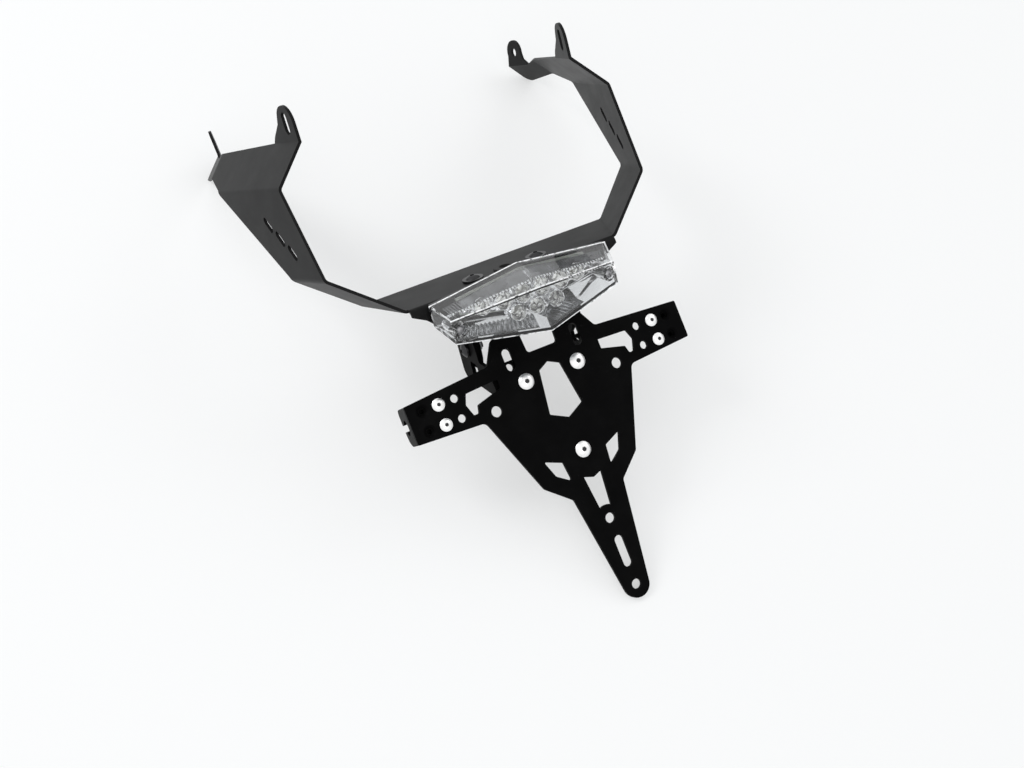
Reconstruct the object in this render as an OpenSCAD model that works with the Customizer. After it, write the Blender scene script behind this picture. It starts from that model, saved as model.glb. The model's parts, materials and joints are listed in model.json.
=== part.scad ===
// Tail tidy: a folded hoop carries a tail light, and a tilting holder for the
// number plate and the indicators hangs under it.
// The hoop and the light are drawn as they sit on the motorbike: X across,
// Y forwards, Z up. The whole part is then laid down by the angle at which it
// rests on a floor, on the tip of the holder and the two feet of the hoop.

/* [Hoop base] */
// Thickness of the hoop's sheet
hoop_t = 2; // [1.5:0.5:3]
// Half the length of the base strip, at its rear edge
base_half = 73; // [66:1:80]
// How much further out the base strip reaches at its front edge
base_flare = 14; // [8:1:18]
// Width of the base strip
base_w = 44.5; // [40:0.5:50]
// Distance of the base strip's rear edge in front of the holder's tip
base_rear = 82.5; // [80:0.5:88]
// Height of the base strip's upper face above the holder's tip
base_up = 203.5; // [200:0.5:215]
// Inside radius of the folds along the hoop
fold_r = 3; // [2:0.5:5]

/* [Hoop arms] */
// Half the width of the hoop at the lower fold
hip_half = 110.5; // [106:0.5:116]
// Distance of the lower fold behind the base strip's front reach
hip_rear = 100.3; // [96:0.5:104]
// Rise of the lower fold above the base strip
hip_rise = 29.5; // [26:0.5:34]
// Length of the lower fold along the motorbike
hip_w = 47.2; // [44:0.5:52]
// How much further out the lower fold reaches at its front
hip_flare = 10.7; // [8:0.5:14]
// Half the width of the hoop at the upper fold
shoulder_half = 114.4; // [110:0.5:120]
// Distance of the upper fold in front of the holder's tip
shoulder_rear = 130; // [126:1:136]
// Rise of the upper fold above the base strip
shoulder_rise = 84; // [80:1:90]
// Length of the upper fold along the motorbike
shoulder_w = 100.5; // [95:0.5:106]
// Drop of the upper fold over its length
shoulder_drop = 6.3; // [4:0.5:9]
// Half the distance between the slotted ears at their rear edge
brow_half = 92.8; // [89:0.5:97]
// Rise of the slotted ears' fold above the base strip
brow_rise = 107; // [104:1:110]
// Distance of the slotted ears' fold in front of the holder's tip
brow_rear = 133.6; // [130:0.5:138]
// Length of the slotted ears' fold
brow_w = 37.1; // [34:0.5:40]
// Drop of the slotted ears' fold over its length
brow_drop = 1.5; // [0:0.5:3]
// Distance of the front fold in front of the holder's tip
front_y = 260; // [255:1:265]
// Rise of the front fold's upper end above the base strip
front_rise = 97.7; // [95:0.5:100]
// Rise of the front fold's lower end above the base strip
front_low = 84.2; // [82:0.5:86]
// Inside radius of the front fold
front_r = 16; // [10:1:20]
// Angle of the front fold
front_angle = 14; // [8:1:20]

/* [Hoop ears] */
// Angle at which the slotted ear is folded up
slot_ear_angle = 42.8; // [35:0.1:50]
// Radius of the slotted ear's head
slot_ear_r = 11; // [10:0.5:13]
// Height of the slotted ear
slot_ear_h = 23.3; // [22:0.1:26]
// Width of the slot in the ear, for an M6 screw
slot_w = 6.8; // [6:0.1:7.5]
// Overall length of the slot
slot_l = 14; // [11:0.5:15]
// Length of the foot in front of the front fold
foot_l = 44; // [40:1:50]
// Depth of the foot below the front fold's upper end
foot_h = 18; // [16:0.5:20]
// Radius of the foot's corner
foot_r = 7; // [4:0.5:8]
// Angle at which the drilled ear is folded up
hole_ear_angle = 46.3; // [40:0.1:52]
// Radius of the drilled ear's head
hole_ear_r = 9.3; // [8.5:0.1:10]
// Height of the hole above the drilled ear's fold
hole_ear_h = 10.2; // [9.5:0.1:13]
// Diameter of the hole, for an M6 screw
hole_ear_d = 6.5; // [6:0.1:7]

/* [Tail light] */
// Half the width of the lens at its rear rim
lens_half = 61.5; // [58:0.5:64]
// Half the width of the lens at its front face
lens_front_half = 56; // [52:0.5:58]
// Depth of the lens at its ends
lens_end_depth = 18; // [14:0.5:22]
// Depth of the lens at its middle
lens_mid_depth = 33; // [28:0.5:38]
// Height of the rear rim at its ends
lens_end_h = 13.5; // [12:0.5:16]
// Height of the rear rim at its middle
lens_mid_h = 34; // [30:0.5:38]
// Height of the front face at its ends
lens_front_end_h = 15; // [12:0.5:16]
// Height of the front face at its middle
lens_front_mid_h = 29; // [26:0.5:31]
// Height of the rear rim's ends above the holder's tip, at their middle
lens_up = 197.4; // [196:0.2:200]
// How much lower the lens's middle sits than its ends
lens_sag = 3; // [0:0.5:4]
// Drop of the front face below the rear rim
lens_drop = 8.8; // [6:0.2:10]
// Wall of the lens
lens_wall = 2; // [1.5:0.1:2.5]
// Thickness of the light's back pan
pan_t = 3.5; // [3:0.5:5]
// Thickness of the rubber gasket behind the light
gasket_t = 1.5; // [1:0.5:2]
// Half the distance between the lens screws
lens_screw_half = 51; // [48:0.5:52]
// Half the distance between the mounting studs
stud_half = 22; // [18:0.5:23]
// Number of LEDs in the upper row; the lower row has half as many
led_count = 6; // [2:2:6]
// Spacing of the LEDs in a row
led_pitch = 13; // [11:0.5:13.5]

/* [Tilt hinge] */
// Thickness of the two hinge brackets' sheet
bracket_t = 2.5; // [2:0.5:3]
// Half the width over the upper bracket's cheeks
upper_half = 35; // [33:0.5:36]
// Running gap between the cheeks
cheek_gap = 0.3; // [0.2:0.1:0.5]
// Distance of the pivot in front of the holder's tip
pivot_y = 99.5; // [98:0.5:102]
// Height of the pivot above the lower bracket's bottom edge
pivot_rise = 24; // [22:0.5:27]
// Radius of the lower bracket's round end
lower_end_r = 18; // [16:0.5:18]
// Radius of the upper bracket's round ends
upper_end_r = 14; // [12:0.5:15]
// Height of the lower bracket's bottom edge above the holder's tip
lower_edge = 136; // [133:0.5:138]
// Depth of the lower bracket's beams
beam_h = 19; // [16:0.5:20]
// Half the distance between the screws through the base strip
hoop_screw_half = 22.5; // [20:0.5:24]
// Distance of those screws in front of the base strip's rear edge
hoop_screw_in = 13; // [12:0.5:15]
// Diameter of the cable grommet's bore
grommet_bore = 7; // [5:0.5:8]

/* [Plate holder] */
// Thickness of the holder's sheet
plate_t = 3; // [2:0.5:4]
// Angle of the holder from the vertical, as fitted to the motorbike
lean = 22.5; // [20:0.5:25]
// Half the width over the arms
arm_half = 96.5; // [92:0.5:104]
// Height of the arms' lower outer corners above the tip
arm_low = 140.7; // [138:0.1:142]
// Height of the arms' ends
arm_h = 24.9; // [23:0.1:27]
// Height of the ears above the tip
ear_top = 186.5; // [184:0.5:187]
// Radius of the rounded tip
tip_r = 8.7; // [8:0.1:9.5]
// Half the width of the tail where the body starts
waist_half = 17.8; // [16:0.2:19]
// Height of the waist above the tip
waist_up = 72.6; // [71:0.2:74]
// Half the width of the body's lower corners
hem_half = 33; // [31:0.5:35]
// Height of the body's lower corners above the tip
hem_up = 86.1; // [84:0.5:88]
// Diameter of the hole at the tip
tip_hole_d = 6.4; // [6:0.1:7]
// Diameter of the hole in the tail
tail_hole_d = 6.5; // [6:0.1:7]
// Height of the hole in the tail above the tip
tail_hole_up = 53.4; // [52:0.2:55]
// Width of the slot in the tail, for an M6 screw
tail_slot_w = 6; // [5.5:0.1:6.5]
// Overall length of the slot in the tail
tail_slot_l = 21; // [18:0.5:24]
// Height of the tail slot's middle above the tip
tail_slot_up = 31; // [30:0.5:32]
// Diameter of the number-plate holes
plate_hole_d = 7; // [6.5:0.1:7.5]
// Half the distance between the number-plate holes
plate_hole_half = 43; // [41:0.5:45]
// Height of the number-plate holes above the tip
plate_hole_up = 142.1; // [141:0.1:143]
// Width of the adjusting slots in the ears
ear_slot_w = 5.8; // [5.4:0.1:6.2]
// Overall length of the adjusting slots
ear_slot_l = 14.5; // [12:0.5:16]

/* [Indicator blocks] */
// Length of a block along the arm
block_l = 25.5; // [24:0.5:28]
// Depth of a block behind the holder
block_d = 20; // [18:0.5:22]
// Diameter of the indicator's bore
stalk_d = 10; // [9:0.5:10.5]
// Depth of the indicator's bore
stalk_l = 15; // [12:0.5:16]
// Distance of the bore's axis behind the holder
stalk_in = 10.6; // [10:0.2:11]
// Width of the slot that runs from the bore to the back
stalk_slot = 4.3; // [3.5:0.1:5]

/* [Fasteners] */
// Thread diameter of the indicator block screws
m4 = 4; // [3.8:0.1:4]
// Thread diameter of the holder, hinge and stud screws
m5 = 5; // [4.8:0.1:5]
// Thread diameter of the screws through the base strip
m6 = 6; // [5.8:0.1:6]
// Thread diameter of the lens screws
m3 = 3; // [2.8:0.1:3]

/* [Hidden] */
$fn = 48;

// Clearances
shank_clear = 0.2;
thread_clear = 0.05;
pivot_clear = 0.05;
seat_gap = 0.05;
eps = 0.02;
bend_steps = 5;
corner_steps = 5;

// Height of the pivot above the holder's tip
pivot_z = lower_edge + pivot_rise;

// Vector helpers
function unit(v) = v / norm(v);
function mix(a, b, f) = a + (b - a) * f;
function flip(v) = [-v.x, v.y, v.z];
function reversed(v) = [for (i = [len(v) - 1 : -1 : 0]) v[i]];
// A face seen from behind, with its first corner kept
function behind(f) = [for (i = [0 : len(f) - 1]) f[(len(f) - i) % len(f)]];
function mitre(a, b) = (a + b) / (1 + a * b);
function plane_normal(a, b, c) = let (n = unit(cross(b - a, c - a))) n.x > 0 ? -n : n;
function slerp(a, b, f) =
  let (w = acos(unit(a) * unit(b)))
  (sin((1 - f) * w) * a + sin(f * w) * b) / sin(w);
// Turns v about the unit vector k
function turned(v, k, w) = v * cos(w) + cross(k, v) * sin(w) + k * (k * v) * (1 - cos(w));
// The point of the plane through a, b and c at a given y and z, or x and y
function at_yz(a, b, c, y, z) =
  let (n = cross(b - a, c - a))
  [a.x - (n.y * (y - a.y) + n.z * (z - a.z)) / n.x, y, z];
function at_xy(a, b, c, x, y) =
  let (n = cross(b - a, c - a))
  [x, y, a.z - (n.x * (x - a.x) + n.y * (y - a.y)) / n.z];

// Outline with rounded corners, from points [x, y, radius]
function corner_arc(p, q, r, rad) =
  let (
    a = unit(p - q),
    b = unit(r - q),
    half = acos(a * b) / 2,
    reach = rad / tan(half),
    centre = q + unit(a + b) * rad / sin(half)
  )
  [for (i = [0 : corner_steps])
    centre + slerp(q + a * reach - centre, q + b * reach - centre, i / corner_steps)];
function flat2(v) = [v.x, v.y];
function rounded(v) =
  let (n = len(v))
  [for (i = [0 : n - 1])
    each v[i][2] == 0 ? [flat2(v[i])]
      : corner_arc(flat2(v[(i + n - 1) % n]), flat2(v[i]), flat2(v[(i + 1) % n]), v[i][2])];
function mirrored(v) = concat(v, [for (p = reversed(v)) [-p.x, p.y, p.z]]);
function arc(c, r, from, to, n) =
  [for (i = [0 : n]) let (w = mix(from, to, i / n)) c + r * [cos(w), sin(w)]];

// Corners of the hoop's upper or inner face, for its right half
up = [0, 0, 1];
back = [0, -1, 0];
base_a = [base_half, base_rear, base_up];
base_b = [base_half + base_flare, base_rear + base_w, base_up];
hip_a = [hip_half, hip_rear, base_up + hip_rise];
hip_b = at_xy(base_a, base_b, hip_a, hip_half + hip_flare, hip_rear + hip_w);
shoulder_a = [shoulder_half, shoulder_rear, base_up + shoulder_rise];
shoulder_b = at_yz(hip_a, hip_b, shoulder_a, shoulder_rear + shoulder_w,
  base_up + shoulder_rise - shoulder_drop);
brow_a = [brow_half, brow_rear, base_up + brow_rise];
brow_b = at_yz(shoulder_a, shoulder_b, brow_a, brow_rear + brow_w,
  base_up + brow_rise - brow_drop);
front_a = at_yz(shoulder_a, shoulder_b, brow_a, front_y, base_up + front_rise);
front_b = at_yz(shoulder_a, shoulder_b, brow_a, front_y - 2, base_up + front_low);

// Normals of the hoop's panels, on the inner side
n_low = plane_normal(base_a, base_b, hip_a);
n_side = plane_normal(hip_a, hip_b, shoulder_a);
n_brow = plane_normal(shoulder_a, shoulder_b, brow_a);
front_axis = unit(front_b - front_a);
n_foot = turned(n_brow, front_axis, -front_angle);

// The foot has its own axes: along its length, and down from the front fold
foot_down = front_axis;
foot_along = cross(foot_down, n_foot);
function on_foot(a, b) = front_a + foot_along * a + foot_down * b;
ear_root = 15.5;
ear_sink = 1.6;
ear_rise = 3.8;
root_a = on_foot(ear_root, ear_sink);
root_b = on_foot(foot_l - 1.5, -ear_rise);
foot_arc = arc([foot_l - foot_r, foot_h - foot_r], foot_r, 90, 0, corner_steps);
foot_rim = [for (p = foot_arc) on_foot(p.x, p.y)];

// The drilled ear's axes: along its fold, and up
lug_along = unit(root_b - root_a);
n_lug = turned(n_foot, lug_along, hole_ear_angle);
lug_up = cross(lug_along, n_lug);
lug_w = norm(root_b - root_a);
lug_hole = [lug_w - hole_ear_r - 1.6, hole_ear_h];
function on_lug(p) = root_a + lug_along * p.x + lug_up * p.y;
lug_rim = [for (p = concat(
    [[lug_w - 1, 4]],
    arc(lug_hole, hole_ear_r, -15, 185, 12),
    [[lug_hole.x - hole_ear_r - 1.5, 4.5]])) on_lug(p)];

// The slotted ear's axes
tab_along = unit(brow_b - brow_a);
n_tab = turned(n_brow, tab_along, slot_ear_angle);
tab_up = cross(tab_along, n_tab);
tab_w = norm(brow_b - brow_a);
tab_eye = [slot_ear_r, slot_ear_h - slot_ear_r];
function on_tab(p) = brow_a + tab_along * p.x + tab_up * p.y;
tab_rim = [for (p = concat(
    [[tab_w - 3.5, 4.6], [tab_eye.x + 12.6, tab_eye.y]],
    arc(tab_eye, slot_ear_r, 25, 180, 10))) on_tab(p)];

// One fold of the strip, as stations [rear point, front point, normal]
function slid(p, q, d, reach) =
  let (e = unit(q - p))
  p + e * reach / norm(e - (e * d) * d);
function fold(a, b, a0, b0, a1, b1, na, nb, r) =
  let (
    d = unit(b - a),
    reach = r * tan(acos(na * nb) / 2),
    m = mitre(na, nb),
    a_in = (slid(a, a0, d, reach) - a) * d,
    a_out = (slid(a, a1, d, reach) - a) * d,
    b_in = (slid(b, b0, d, reach) - a) * d,
    b_out = (slid(b, b1, d, reach) - a) * d
  )
  [for (i = [0 : bend_steps])
    let (
      f = i / bend_steps,
      nv = slerp(na, nb, f),
      foot = a + r * m - r * nv,
      foot_d = (foot - a) * d
    )
    [foot + d * (mix(a_in, a_out, f) - foot_d), foot + d * (mix(b_in, b_out, f) - foot_d), nv]];
stations = concat(
  fold(base_a, base_b, flip(base_a), flip(base_b), hip_a, hip_b, up, n_low, fold_r),
  fold(hip_a, hip_b, base_a, base_b, shoulder_a, shoulder_b, n_low, n_side, fold_r),
  fold(shoulder_a, shoulder_b, hip_a, hip_b, brow_a, front_b, n_side, n_brow, fold_r),
  fold(front_a, front_b, brow_b, shoulder_b, root_a, foot_rim[0], n_brow, n_foot, front_r));
count = len(stations);
brow_at = 3 * (bend_steps + 1) - 1;

// The lamp flange is folded down from the base strip's rear edge
flange_out = fold_r + 1.5;
flange_fold = [for (i = [1 : bend_steps])
  let (w = 90 * i / bend_steps, nv = [0, -sin(w), cos(w)])
  [[stations[0][0].x, base_rear, base_up - flange_out] + flange_out * nv, nv]];
flange_y = base_rear - flange_out;
flange_rim = [for (p = [[63.5, 9], [54, 18.5], [31, 22]]) [p.x, flange_y, base_up - p.y]];

// All corners of the right half, with the normal of their panel or fold
ring_pts = [for (s = stations) each [[s[0], s[2]], [s[1], s[2]]]];
half_pts = concat(
  ring_pts,
  [[brow_a, mitre(n_brow, n_tab)], [brow_b, mitre(n_brow, n_tab)]],
  [for (p = tab_rim) [p, n_tab]],
  [for (p = foot_rim) [p, n_foot]],
  [[root_b, mitre(n_foot, n_lug)], [root_a, mitre(n_foot, n_lug)]],
  [for (p = lug_rim) [p, n_lug]],
  flange_fold,
  [for (p = flange_rim) [p, back]]);
i_brow = 2 * count;
i_tab = i_brow + 2;
i_foot = i_tab + len(tab_rim);
i_root = i_foot + len(foot_rim);
i_lug = i_root + 2;
i_flange = i_lug + len(lug_rim);
i_skirt = i_flange + len(flange_fold);
n_half = len(half_pts);
function run(from, n) = [for (i = [0 : n - 1]) from + i];
tab_run = run(i_tab, len(tab_rim));
foot_run = run(i_foot, len(foot_rim));
lug_run = run(i_lug, len(lug_rim));
flange_run = run(i_flange, len(flange_fold));
skirt_run = run(i_skirt, len(flange_rim));
half_faces = concat(
  [for (i = [0 : count - 2]) i == brow_at
    ? [2 * i, 2 * i + 1, 2 * i + 3, 2 * i + 2, i_brow + 1, i_brow]
    : [2 * i, 2 * i + 1, 2 * i + 3, 2 * i + 2]],
  [concat([i_brow, i_brow + 1], tab_run)],
  [concat([i_root + 1, 2 * count - 2, 2 * count - 1], foot_run, [i_root])],
  [[i_root + 1, i_root, i_lug, i_flange - 1], [i_lug, i_lug + 1, i_flange - 2, i_flange - 1]],
  [run(i_lug + 1, len(lug_run) - 2)]);
// The rim of the right half, from the flange's lower edge round to the middle
half_rim = concat(
  [1],
  [for (i = [1 : count - 1]) 2 * i + 1],
  foot_run,
  [i_root],
  lug_run,
  [i_root + 1],
  [for (i = [count - 1 : -1 : brow_at + 1]) 2 * i],
  [i_brow + 1],
  tab_run,
  [i_brow],
  [for (i = [brow_at : -1 : 0]) 2 * i],
  flange_run,
  skirt_run);
function other(v) = [for (i = v) i + n_half];
across = concat([0], flange_run);
mid_faces = concat(
  [[n_half, n_half + 1, 1, 0]],
  [for (i = [0 : len(across) - 2])
    [across[i] + n_half, across[i], across[i + 1], across[i + 1] + n_half]],
  [for (i = [0 : len(skirt_run) - 1])
    let (a = i == 0 ? i_skirt - 1 : skirt_run[i - 1], b = skirt_run[i])
    [a, b, b + n_half, a + n_half]]);
skin = concat(half_pts, [for (p = half_pts) [flip(p[0]), flip(p[1])]]);
skin_faces = concat(half_faces, mid_faces, [for (f = half_faces) behind(other(f))]);
rim = concat(half_rim, reversed(other(half_rim)));

// A bent sheet from its skin, the skin's faces and its rim
module bent_sheet(pts, faces, edge, t) {
  n = len(pts);
  m = len(edge);
  polyhedron(
    points = concat([for (p = pts) p[0]], [for (p = pts) p[0] - t * p[1]]),
    faces = concat(
      faces,
      [for (f = faces) behind([for (i = f) i + n])],
      [for (i = [0 : m - 1])
        let (a = edge[i], b = edge[(i + 1) % m])
        each i < m / 2 ? [[b, a, a + n], [b, a + n, b + n]] : [[b, a, b + n], [a, a + n, b + n]]]));
}

// How the part rests: on the rear edge of the tip and on the two feet
tip_y = plate_t * cos(lean);
tip_z = -plate_t * sin(lean);
foot_low = [for (p = foot_rim) each [p, p - hoop_t * n_foot]];
stand = min([for (p = foot_low) atan2(p.z - tip_z, p.y - tip_y)]);
function laid_y(p) = p.y * cos(stand) + p.z * sin(stand);
function laid_z(p) = p.z * cos(stand) - p.y * sin(stand);
reach_y = max([for (p = lug_rim) each [laid_y(p), laid_y(p - hoop_t * n_lug)]]);
lift = -laid_z([0, tip_y, tip_z]);
module laid_down() {
  translate([0, -reach_y / 2, lift])
    rotate([-stand, 0, 0])
      children();
}

// Puts children drawn in x and y on the holder's front face, y up from the tip
module on_plate() {
  rotate([90 - lean, 0, 0])
    children();
}
// Turns children so that their Z points along -Y, with x kept and y up
module facing_back() {
  rotate([90, 0, 0])
    children();
}
module both_sides() {
  children();
  mirror([1, 0, 0])
    children();
}

// Shapes of the fasteners
head_k = 0.42;
module button_head(d, flange_d, flange_t) {
  k = d * head_k / 2;
  r = (d * d / 4 + k * k) / (2 * k);
  difference() {
    union() {
      cylinder(d = flange_d, h = flange_t);
      translate([0, 0, flange_t - eps])
        rotate_extrude()
          intersection() {
            translate([0, k - r])
              circle(r = r, $fn = 96);
            square([d / 2, k]);
          }
    }
    translate([0, 0, flange_t + k * 0.25])
      cylinder(d = d * 0.32, h = k, $fn = 6);
  }
}
// A screw with its head above z = 0 and its shank below
module screw(d, head_d, l, flange_d, flange_t) {
  button_head(head_d, flange_d, flange_t);
  translate([0, 0, -l])
    cylinder(d = d, h = l + eps);
}
module hex_nut(d, across_flats, h) {
  difference() {
    cylinder(d = across_flats / cos(30), h = h, $fn = 6);
    translate([0, 0, -1])
      cylinder(d = d + 2 * thread_clear, h = h + 2);
  }
}
module slot_cut(w, l, h) {
  translate([-w / 2, -(l - w) / 2, 0])
    cube([w, l - w, h]);
  for (e = [-1, 1])
    translate([0, e * (l - w) / 2, 0])
      cylinder(d = w, h = h);
}

head_m4 = 8.1;
head_m5 = 10.2;
head_m6 = 10;
nut_m5 = 8;
nut_m5_h = 4;
nut_m6 = 10;
nut_m6_h = 5;
flange_m6 = 14;
washer_m5 = 10;
washer_t = 1;

// How far the studs go into the back pan, and out of the flange
stud_in = 2;
stud_out = 6;

// Places on the hoop
hoop_screw_y = base_rear + hoop_screw_in;
flange_back = flange_y + hoop_t;
stud_z = lens_up - 4.5;
grommet_wall = 2;
grommet_hole_d = grommet_bore + 2 * grommet_wall;
// Turns children drawn in x, y and z onto the axes a, b and c at the point o
module on_axes(o, a, b, c) {
  multmatrix([[a.x, b.x, c.x, o.x], [a.y, b.y, c.y, o.y], [a.z, b.z, c.z, o.z]])
    children();
}
// Slanted slots in the side panels save weight
vent_w = 4.6;
vent_l = 17;
vent_count = 3;
vent_pitch = 15.5;
side_up = unit(shoulder_a - hip_a);
side_along = cross(n_side, side_up);
side_mid = [43, 31];
vent_lean = 30;

module tail_hoop() {
  color("dimgray")
    laid_down()
      difference() {
        bent_sheet(skin, skin_faces, rim, hoop_t);
        both_sides() {
          on_axes(on_lug(lug_hole), lug_along, lug_up, cross(lug_along, lug_up))
            translate([0, 0, -2 * hoop_t])
              cylinder(d = hole_ear_d, h = 4 * hoop_t);
          on_axes(on_tab(tab_eye), tab_along, tab_up, cross(tab_along, tab_up))
            translate([0, 0, -2 * hoop_t])
              slot_cut(slot_w, slot_l, 4 * hoop_t);
          for (i = [0 : vent_count - 1])
            on_axes(hip_a + side_up * side_mid.x + side_along * side_mid.y, side_along, side_up,
                cross(side_along, side_up))
              rotate([0, 0, -vent_lean])
                translate([0, (i - (vent_count - 1) / 2) * vent_pitch, -2 * hoop_t])
                  rotate([0, 0, 12])
                    slot_cut(vent_w, vent_l - vent_w, 4 * hoop_t);
          translate([hoop_screw_half, hoop_screw_y, base_up - 2 * hoop_t])
            cylinder(d = m6 + 2 * shank_clear, h = 3 * hoop_t);
          translate([stud_half, flange_back + hoop_t, stud_z])
            facing_back()
              cylinder(d = m5 + 2 * shank_clear, h = 2 * hoop_t);
        }
        translate([0, hoop_screw_y, base_up - 2 * hoop_t])
          cylinder(d = grommet_hole_d, h = 3 * hoop_t);
      }
}

hoop_grip = hoop_t + bracket_t;
module hoop_screws() {
  color("black")
    laid_down()
      both_sides()
        translate([hoop_screw_half, hoop_screw_y, base_up])
          screw(m6, head_m6, hoop_grip + nut_m6_h + 1.5, flange_m6, 1.2);
}
module hoop_nuts() {
  color("silver")
    laid_down()
      both_sides()
        translate([hoop_screw_half, hoop_screw_y, base_up - hoop_grip - nut_m6_h])
          hex_nut(m6, nut_m6, nut_m6_h);
}
module cable_grommet() {
  lip_r = grommet_hole_d / 2 + 2;
  lip_t = 1.6;
  color([0.05, 0.05, 0.05])
    laid_down()
      translate([0, hoop_screw_y, base_up])
        difference() {
          union() {
            cylinder(r = lip_r, h = lip_t);
            translate([0, 0, -hoop_t - seat_gap])
              cylinder(r = grommet_hole_d / 2 - 0.1, h = hoop_t + 1);
            translate([0, 0, -hoop_t - lip_t])
              cylinder(r = lip_r, h = lip_t);
          }
          translate([0, 0, -hoop_t - 3])
            cylinder(d = grommet_bore, h = hoop_t + 6);
        }
}

// Upper bracket: a top plate under the base strip with two cheeks folded down
upper_y0 = hoop_screw_y - 7.5;
upper_y1 = upper_y0 + 30;
upper_top = base_up - hoop_t;
grommet_room = grommet_hole_d / 2 + 3;
module upper_bracket() {
  color([0.08, 0.08, 0.08])
    laid_down()
      difference() {
        union() {
          translate([-upper_half, upper_y0, upper_top - bracket_t])
            cube([2 * upper_half, upper_y1 - upper_y0, bracket_t]);
          both_sides()
            translate([upper_half - bracket_t, 0, 0])
              rotate([90, 0, 90])
                linear_extrude(bracket_t) {
                  polygon([
                    [upper_y0, upper_top - eps],
                    [upper_y0, upper_top - 12],
                    [pivot_y - upper_end_r, pivot_z + 6],
                    [pivot_y - upper_end_r, pivot_z],
                    [pivot_y + upper_end_r, pivot_z],
                    [upper_y1, upper_top - 14],
                    [upper_y1, upper_top - eps]
                  ]);
                  translate([pivot_y, pivot_z])
                    circle(r = upper_end_r);
                }
        }
        both_sides() {
          translate([hoop_screw_half, hoop_screw_y, upper_top - 3 * bracket_t])
            cylinder(d = m6 + 2 * shank_clear, h = 4 * bracket_t);
          translate([0, pivot_y, pivot_z])
            rotate([0, 90, 0])
              cylinder(d = m5 + 2 * pivot_clear, h = upper_half + 1);
        }
        translate([0, hoop_screw_y, upper_top - 2 * bracket_t])
          cylinder(r = grommet_room, h = 3 * bracket_t);
      }
}

// Pivot hardware, from the washer's outer face inwards
lower_in = upper_half + cheek_gap;
lower_out = lower_in + bracket_t;
washer_in = lower_out + seat_gap;
washer_out = washer_in + washer_t;
nut_out = upper_half - bracket_t;
module at_pivot(x) {
  translate([x, pivot_y, pivot_z])
    rotate([0, 90, 0])
      children();
}
module pivot_screws() {
  color("silver")
    laid_down()
      both_sides()
        at_pivot(washer_out)
          screw(m5, head_m5, washer_out - nut_out + nut_m5_h + 1.5, head_m5, 0.6);
}
module pivot_washers() {
  color("silver")
    laid_down()
      both_sides()
        at_pivot(washer_in)
          difference() {
            cylinder(d = washer_m5, h = washer_t);
            translate([0, 0, -1])
              cylinder(d = m5 + 2 * shank_clear, h = washer_t + 2);
          }
}
module pivot_nuts() {
  color("silver")
    laid_down()
      both_sides()
        at_pivot(nut_out - nut_m5_h)
          hex_nut(m5, nut_m5, nut_m5_h);
}

// The light: a hexagonal body whose front face is lower and smaller
pan_y = flange_y - gasket_t - pan_t;
lens_end_y = pan_y - lens_end_depth;
lens_mid_y = pan_y - lens_mid_depth;
front_up = lens_up - lens_drop;
function hexagon(half_w, end_h, mid_h, z, sag) = [
  [half_w, z + end_h / 2], [0, z - sag + mid_h / 2], [-half_w, z + end_h / 2],
  [-half_w, z - end_h / 2], [0, z - sag - mid_h / 2], [half_w, z - end_h / 2]
];
function face_y(x) = mix(lens_mid_y, lens_end_y, abs(x) / lens_front_half);
// Solid of the light's form, shrunk by a wall and starting at a given y
module lamp_form(wall, y) {
  rear = hexagon(lens_half - wall, lens_end_h - 1.6 * wall, lens_mid_h - 2 * wall, lens_up, lens_sag);
  front = hexagon(lens_front_half - wall, lens_front_end_h - 1.6 * wall,
    lens_front_mid_h - 2 * wall, front_up, lens_sag / 3);
  polyhedron(
    points = concat(
      [for (p = rear) [p.x, y, p.y]],
      [for (p = front) [p.x, face_y(p.x) + wall, p.y]]),
    faces = concat(
      [[0, 1, 2, 3, 4, 5]],
      [for (i = [0 : 5]) let (j = (i + 1) % 6) each [[j, i, i + 6], [j, i + 6, j + 6]]],
      [[11, 10, 7, 6], [10, 9, 8, 7]]));
}
boss_r = 4.7;
lens_screw_head = 5.6;
lens_screw_k = 1.6;
boss_y = face_y(lens_screw_half) + 0.8;
boss_z = front_up + 0.5;
module lamp_lens() {
  color([0.85, 0.9, 0.95, 0.5])
    laid_down()
      difference() {
        union() {
          difference() {
            lamp_form(0, pan_y);
            lamp_form(lens_wall, pan_y + 1);
          }
          intersection() {
            lamp_form(0, pan_y);
            both_sides()
              translate([lens_screw_half, pan_y, boss_z])
                facing_back()
                  cylinder(r = boss_r, h = lens_end_depth * 2);
          }
        }
        both_sides()
          translate([lens_screw_half, pan_y + 1, boss_z])
            facing_back() {
              cylinder(d = m3 + 2 * shank_clear, h = lens_end_depth * 2);
              translate([0, 0, pan_y + 1 - boss_y - lens_screw_k])
                cylinder(d = lens_screw_head + 0.8, h = lens_end_depth);
            }
      }
}
lens_screw_l = pan_y - boss_y - lens_screw_k + 2.5;
module lens_screws() {
  color("silver")
    laid_down()
      both_sides()
        translate([lens_screw_half, boss_y + lens_screw_k, boss_z])
          facing_back()
            screw(m3, lens_screw_head, lens_screw_l, lens_screw_head, 0.3);
}
pan_back = pan_y + pan_t;
module pan_outline(grow) {
  polygon(hexagon(lens_half - 1 + grow, lens_end_h + 2 * grow, lens_mid_h - 2 + 2 * grow, lens_up, lens_sag));
}
module lamp_pan() {
  color([0.1, 0.1, 0.1])
    laid_down()
      difference() {
        translate([0, pan_back, 0])
          facing_back()
            linear_extrude(pan_t - seat_gap)
              pan_outline(0);
        both_sides() {
          translate([lens_screw_half, pan_back - 0.8, boss_z])
            facing_back()
              cylinder(d = m3 + 2 * thread_clear, h = pan_t);
          translate([stud_half, pan_back + 1, stud_z])
            facing_back()
              cylinder(d = m5 + 2 * thread_clear, h = 1 + stud_in);
        }
      }
}
gasket_half = stud_half + 20;
gasket_low = 14;
gasket_h = 20;
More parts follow.
